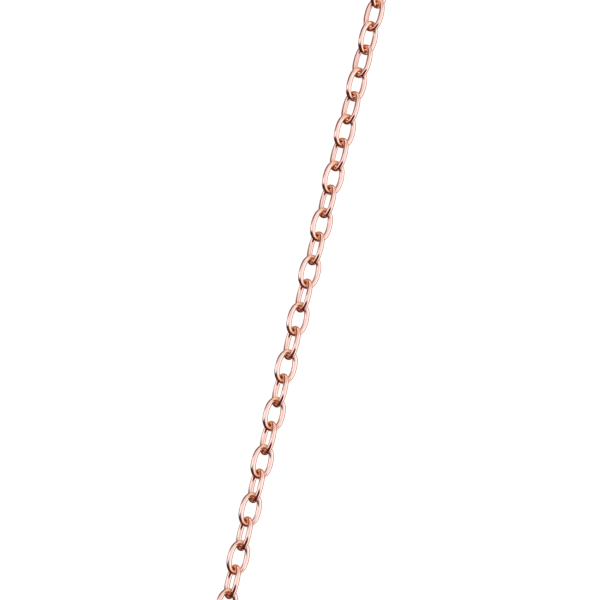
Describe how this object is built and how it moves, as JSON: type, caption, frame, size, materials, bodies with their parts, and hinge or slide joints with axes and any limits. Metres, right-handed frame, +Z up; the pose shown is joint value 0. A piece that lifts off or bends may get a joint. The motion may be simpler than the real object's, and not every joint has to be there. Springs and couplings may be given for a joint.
{
  "type": "chain necklace",
  "caption": "Rose-gold cable-chain necklace of oval wire links, with a lobster clasp at one end and a catch ring at the other, lying open.",
  "frame": {"origin": "middle of the loop's outline, on the surface that the necklace lies on", "axes": "+Y from the front of the loop towards the clasp, +Z up from the surface, +X towards the catch-ring side"},
  "size_m": [0.1052, 0.1861, 0.0026],
  "materials": {
    "rose_gold": "polished",
    "spring_steel": "satin"
  },
  "bodies": {
    "link_14": {"link_14": "rose_gold"},
    "link_13": {"link_13": "rose_gold"},
    "link_12": {"link_12": "rose_gold"},
    "link_11": {"link_11": "rose_gold"},
    "link_10": {"link_10": "rose_gold"},
    "link_09": {"link_09": "rose_gold"},
    "link_08": {"link_08": "rose_gold"},
    "link_07": {"link_07": "rose_gold"},
    "link_06": {"link_06": "rose_gold"},
    "link_05": {"link_05": "rose_gold"},
    "link_04": {"link_04": "rose_gold"},
    "link_03": {"link_03": "rose_gold"},
    "link_02": {"link_02": "rose_gold"},
    "link_01": {"link_01": "rose_gold"},
    "chain_run_01": {"chain_run_01": "rose_gold"},
    "chain_run_02": {"chain_run_02": "rose_gold"},
    "chain_run_03": {"chain_run_03": "rose_gold"},
    "chain_run_04": {"chain_run_04": "rose_gold"},
    "chain_run_05": {"chain_run_05": "rose_gold"},
    "ring_end_link_1": {"ring_end_link_1": "rose_gold"},
    "ring_end_link_2": {"ring_end_link_2": "rose_gold"},
    "catch_ring": {"catch_ring": "rose_gold"},
    "link_15": {"link_15": "rose_gold"},
    "link_16": {"link_16": "rose_gold"},
    "link_17": {"link_17": "rose_gold"},
    "link_18": {"link_18": "rose_gold"},
    "link_19": {"link_19": "rose_gold"},
    "link_20": {"link_20": "rose_gold"},
    "link_21": {"link_21": "rose_gold"},
    "link_22": {"link_22": "rose_gold"},
    "link_23": {"link_23": "rose_gold"},
    "link_24": {"link_24": "rose_gold"},
    "link_25": {"link_25": "rose_gold"},
    "link_26": {"link_26": "rose_gold"},
    "link_27": {"link_27": "rose_gold"},
    "chain_run_06": {"chain_run_06": "rose_gold"},
    "chain_run_07": {"chain_run_07": "rose_gold"},
    "chain_run_08": {"chain_run_08": "rose_gold"},
    "chain_run_09": {"chain_run_09": "rose_gold"},
    "chain_run_10": {"chain_run_10": "rose_gold"},
    "chain_run_11": {"chain_run_11": "rose_gold"},
    "chain_run_12": {"chain_run_12": "rose_gold"},
    "chain_run_13": {"chain_run_13": "rose_gold"},
    "chain_run_14": {"chain_run_14": "rose_gold"},
    "chain_run_15": {"chain_run_15": "rose_gold"},
    "chain_run_16": {"chain_run_16": "rose_gold"},
    "chain_run_17": {"chain_run_17": "rose_gold"},
    "chain_run_18": {"chain_run_18": "rose_gold"},
    "chain_run_19": {"chain_run_19": "rose_gold"},
    "chain_run_20": {"chain_run_20": "rose_gold"},
    "clasp_end_link_1": {"clasp_end_link_1": "rose_gold"},
    "jump_ring": {"jump_ring": "rose_gold"},
    "clasp_body": {"clasp_body": "rose_gold", "clasp_rivet": "rose_gold", "clasp_spring": "spring_steel"},
    "clasp_trigger": {"clasp_trigger": "rose_gold"}
  },
  "joints": [
    {"name": "link_13_swing", "type": "hinge", "parent": "link_14", "child": "link_13", "pos_m": [0.03806, -0.02008, 0.00131], "axis": [0.1811, -0.0427, 0.9825], "range_deg": [-90, 90]},
    {"name": "link_12_swing", "type": "hinge", "parent": "link_13", "child": "link_12", "pos_m": [0.03887, -0.01685, 0.0013], "axis": [0.7735, -0.1947, -0.6031], "range_deg": [-90, 90]},
    {"name": "link_11_swing", "type": "hinge", "parent": "link_12", "child": "link_11", "pos_m": [0.03968, -0.01362, 0.00129], "axis": [-0.2173, 0.0506, -0.9748], "range_deg": [-90, 90]},
    {"name": "link_10_swing", "type": "hinge", "parent": "link_11", "child": "link_10", "pos_m": [0.04048, -0.01039, 0.00128], "axis": [-0.7695, 0.1946, 0.6083], "range_deg": [-90, 90]},
    {"name": "link_09_swing", "type": "hinge", "parent": "link_10", "child": "link_09", "pos_m": [0.04129, -0.00716, 0.00126], "axis": [0.281, -0.0649, 0.9575], "range_deg": [-90, 90]},
    {"name": "link_08_swing", "type": "hinge", "parent": "link_09", "child": "link_08", "pos_m": [0.04209, -0.00393, 0.00125], "axis": [0.7216, -0.1843, -0.6674], "range_deg": [-90, 90]},
    {"name": "link_07_swing", "type": "hinge", "parent": "link_08", "child": "link_07", "pos_m": [0.0429, -0.0007, 0.00122], "axis": [-0.3454, 0.0785, -0.9352], "range_deg": [-90, 90]},
    {"name": "link_06_swing", "type": "hinge", "parent": "link_07", "child": "link_06", "pos_m": [0.0437, 0.00253, 0.0012], "axis": [-0.6898, 0.179, 0.7015], "range_deg": [-90, 90]},
    {"name": "link_05_swing", "type": "hinge", "parent": "link_06", "child": "link_05", "pos_m": [0.04451, 0.00577, 0.00117], "axis": [0.4604, -0.1124, 0.8806], "range_deg": [-90, 90]},
    {"name": "link_04_swing", "type": "hinge", "parent": "link_05", "child": "link_04", "pos_m": [0.04531, 0.009, 0.00116], "axis": [0.6086, -0.1517, -0.7789], "range_deg": [-90, 90]},
    {"name": "link_03_swing", "type": "hinge", "parent": "link_04", "child": "link_03", "pos_m": [0.04612, 0.01223, 0.00116], "axis": [-0.5739, 0.1431, -0.8064], "range_deg": [-90, 90]},
    {"name": "link_02_swing", "type": "hinge", "parent": "link_03", "child": "link_02", "pos_m": [0.04693, 0.01546, 0.00116], "axis": [-0.5141, 0.1282, 0.8481], "range_deg": [-90, 90]},
    {"name": "link_01_swing", "type": "hinge", "parent": "link_02", "child": "link_01", "pos_m": [0.04773, 0.01869, 0.00116], "axis": [0.6688, -0.1667, 0.7245], "range_deg": [-90, 90]},
    {"name": "chain_run_01_swing", "type": "hinge", "parent": "link_01", "child": "chain_run_01", "pos_m": [0.04854, 0.02192, 0.00116], "axis": [0.5194, -0.1295, -0.8447], "range_deg": [-90, 90]},
    {"name": "chain_run_02_swing", "type": "hinge", "parent": "chain_run_01", "child": "chain_run_02", "pos_m": [0.05141, 0.03828, 0.00116], "axis": [-0.669, 0.0204, -0.7429], "range_deg": [-90, 90]},
    {"name": "chain_run_03_swing", "type": "hinge", "parent": "chain_run_02", "child": "chain_run_03", "pos_m": [0.04924, 0.05471, 0.00116], "axis": [-0.5798, -0.1751, 0.7957], "range_deg": [-90, 90]},
    {"name": "chain_run_04_swing", "type": "hinge", "parent": "chain_run_03", "child": "chain_run_04", "pos_m": [0.04195, 0.0696, 0.00116], "axis": [0.5571, 0.3952, 0.7304], "range_deg": [-90, 90]},
    {"name": "chain_run_05_swing", "type": "hinge", "parent": "chain_run_04", "child": "chain_run_05", "pos_m": [0.0303, 0.0814, 0.00116], "axis": [0.4082, 0.5598, -0.7211], "range_deg": [-90, 90]},
    {"name": "ring_end_link_1_swing", "type": "hinge", "parent": "chain_run_05", "child": "ring_end_link_1", "pos_m": [0.01551, 0.08888, 0.00116], "axis": [-0.1839, -0.6542, -0.7336], "range_deg": [-90, 90]},
    {"name": "ring_end_link_2_swing", "type": "hinge", "parent": "ring_end_link_1", "child": "ring_end_link_2", "pos_m": [0.0123, 0.08978, 0.00116], "axis": [-0.1391, -0.6551, 0.7426], "range_deg": [-90, 90]},
    {"name": "catch_ring_swing", "type": "hinge", "parent": "ring_end_link_2", "child": "catch_ring", "pos_m": [0.00905, 0.09047, 0.00116], "axis": [0.0438, 0.3396, 0.9396], "range_deg": [-90, 90]},
    {"name": "link_15_swing", "type": "hinge", "parent": "link_14", "child": "link_15", "pos_m": [0.03707, -0.02408, 0.00132], "axis": [0.1522, -0.0363, 0.9877], "range_deg": [-90, 90]},
    {"name": "link_16_swing", "type": "hinge", "parent": "link_15", "child": "link_16", "pos_m": [0.03626, -0.02731, 0.00132], "axis": [-0.7984, 0.1999, 0.568], "range_deg": [-90, 90]},
    {"name": "link_17_swing", "type": "hinge", "parent": "link_16", "child": "link_17", "pos_m": [0.03546, -0.03054, 0.00133], "axis": [-0.1275, 0.0306, -0.9914], "range_deg": [-90, 90]},
    {"name": "link_18_swing", "type": "hinge", "parent": "link_17", "child": "link_18", "pos_m": [0.03465, -0.03377, 0.00133], "axis": [0.8207, -0.2052, -0.5332], "range_deg": [-90, 90]},
    {"name": "link_19_swing", "type": "hinge", "parent": "link_18", "child": "link_19", "pos_m": [0.03384, -0.03701, 0.00133], "axis": [0.1212, -0.0294, 0.9922], "range_deg": [-90, 90]},
    {"name": "link_20_swing", "type": "hinge", "parent": "link_19", "child": "link_20", "pos_m": [0.03304, -0.04024, 0.00133], "axis": [-0.8111, 0.2026, 0.5487], "range_deg": [-90, 90]},
    {"name": "link_21_swing", "type": "hinge", "parent": "link_20", "child": "link_21", "pos_m": [0.03223, -0.04347, 0.00134], "axis": [-0.0986, 0.024, -0.9948], "range_deg": [-90, 90]},
    {"name": "link_22_swing", "type": "hinge", "parent": "link_21", "child": "link_22", "pos_m": [0.03143, -0.0467, 0.00134], "axis": [0.8259, -0.2062, -0.5247], "range_deg": [-90, 90]},
    {"name": "link_23_swing", "type": "hinge", "parent": "link_22", "child": "link_23", "pos_m": [0.03062, -0.04993, 0.00134], "axis": [0.108, -0.0265, 0.9938], "range_deg": [-90, 90]},
    {"name": "link_24_swing", "type": "hinge", "parent": "link_23", "child": "link_24", "pos_m": [0.02982, -0.05316, 0.00134], "axis": [-0.8183, 0.2042, 0.5373], "range_deg": [-90, 90]},
    {"name": "link_25_swing", "type": "hinge", "parent": "link_24", "child": "link_25", "pos_m": [0.02901, -0.05639, 0.00134], "axis": [-0.0832, 0.0204, -0.9963], "range_deg": [-90, 90]},
    {"name": "link_26_swing", "type": "hinge", "parent": "link_25", "child": "link_26", "pos_m": [0.02821, -0.05962, 0.00134], "axis": [0.8273, -0.2063, -0.5225], "range_deg": [-90, 90]},
    {"name": "link_27_swing", "type": "hinge", "parent": "link_26", "child": "link_27", "pos_m": [0.0274, -0.06285, 0.00134], "axis": [0.1059, -0.0264, 0.994], "range_deg": [-90, 90]},
    {"name": "chain_run_06_swing", "type": "hinge", "parent": "link_27", "child": "chain_run_06", "pos_m": [0.02659, -0.06608, 0.00134], "axis": [-0.8217, 0.2049, 0.5318], "range_deg": [-90, 90]},
    {"name": "chain_run_07_swing", "type": "hinge", "parent": "chain_run_06", "child": "chain_run_07", "pos_m": [0.02042, -0.08137, 0.00134], "axis": [-0.4151, 0.3271, -0.8489], "range_deg": [-90, 90]},
    {"name": "chain_run_08_swing", "type": "hinge", "parent": "chain_run_07", "child": "chain_run_08", "pos_m": [0.00676, -0.09038, 0.00134], "axis": [0.22, -0.8173, -0.5325], "range_deg": [-90, 90]},
    {"name": "chain_run_09_swing", "type": "hinge", "parent": "chain_run_08", "child": "chain_run_09", "pos_m": [-0.00958, -0.08945, 0.00134], "axis": [-0.1973, -0.4978, 0.8445], "range_deg": [-90, 90]},
    {"name": "chain_run_10_swing", "type": "hinge", "parent": "chain_run_09", "child": "chain_run_10", "pos_m": [-0.02212, -0.07893, 0.00134], "axis": [0.7324, 0.4521, 0.5091], "range_deg": [-90, 90]},
    {"name": "chain_run_11_swing", "type": "hinge", "parent": "chain_run_10", "child": "chain_run_11", "pos_m": [-0.02731, -0.0632, 0.00134], "axis": [0.0928, 0.0231, -0.9954], "range_deg": [-90, 90]},
    {"name": "chain_run_12_swing", "type": "hinge", "parent": "chain_run_11", "child": "chain_run_12", "pos_m": [-0.03134, -0.04704, 0.00134], "axis": [-0.8195, -0.2043, -0.5354], "range_deg": [-90, 90]},
    {"name": "chain_run_13_swing", "type": "hinge", "parent": "chain_run_12", "child": "chain_run_13", "pos_m": [-0.03537, -0.03089, 0.00134], "axis": [-0.0802, -0.02, 0.9966], "range_deg": [-90, 90]},
    {"name": "chain_run_14_swing", "type": "hinge", "parent": "chain_run_13", "child": "chain_run_14", "pos_m": [-0.0394, -0.01473, 0.00134], "axis": [0.8236, 0.2053, 0.5288], "range_deg": [-90, 90]},
    {"name": "chain_run_15_swing", "type": "hinge", "parent": "chain_run_14", "child": "chain_run_15", "pos_m": [-0.04343, 0.00142, 0.00134], "axis": [0.1055, 0.0263, -0.9941], "range_deg": [-90, 90]},
    {"name": "chain_run_16_swing", "type": "hinge", "parent": "chain_run_15", "child": "chain_run_16", "pos_m": [-0.04745, 0.01758, 0.00134], "axis": [-0.8303, -0.207, -0.5174], "range_deg": [-90, 90]},
    {"name": "chain_run_17_swing", "type": "hinge", "parent": "chain_run_16", "child": "chain_run_17", "pos_m": [-0.05108, 0.03382, 0.00134], "axis": [-0.0887, -0.0105, 0.996], "range_deg": [-90, 90]},
    {"name": "chain_run_18_swing", "type": "hinge", "parent": "chain_run_17", "child": "chain_run_18", "pos_m": [-0.05034, 0.05038, 0.00134], "axis": [0.8258, -0.1728, 0.5369], "range_deg": [-90, 90]},
    {"name": "chain_run_19_swing", "type": "hinge", "parent": "chain_run_18", "child": "chain_run_19", "pos_m": [-0.04438, 0.06584, 0.00134], "axis": [0.0739, -0.0433, -0.9963], "range_deg": [-90, 90]},
    {"name": "chain_run_20_swing", "type": "hinge", "parent": "chain_run_19", "child": "chain_run_20", "pos_m": [-0.0338, 0.07861, 0.00134], "axis": [-0.5603, 0.6426, -0.5226], "range_deg": [-90, 90]},
    {"name": "clasp_end_link_1_swing", "type": "hinge", "parent": "chain_run_20", "child": "clasp_end_link_1", "pos_m": [-0.01971, 0.08735, 0.00134], "axis": [-0.0409, 0.1082, 0.9933], "range_deg": [-90, 90]},
    {"name": "jump_ring_swing", "type": "hinge", "parent": "clasp_end_link_1", "child": "jump_ring", "pos_m": [-0.0166, 0.08853, 0.00134], "axis": [0.2617, -0.8067, 0.5299], "range_deg": [-90, 90]},
    {"name": "clasp_body_swing", "type": "hinge", "parent": "jump_ring", "child": "clasp_body", "pos_m": [-0.01514, 0.089, 0.00134], "axis": [0, 0, -1], "range_deg": [-55, 55]},
    {"name": "clasp_trigger_turn", "type": "hinge", "parent": "clasp_body", "child": "clasp_trigger", "pos_m": [-0.01074, 0.09036, 0.00134], "axis": [0, 0, 1], "range_deg": [-25, 0], "stiffness_Nm_per_rad": 0.001, "springref_deg": 11.46}
  ]
}
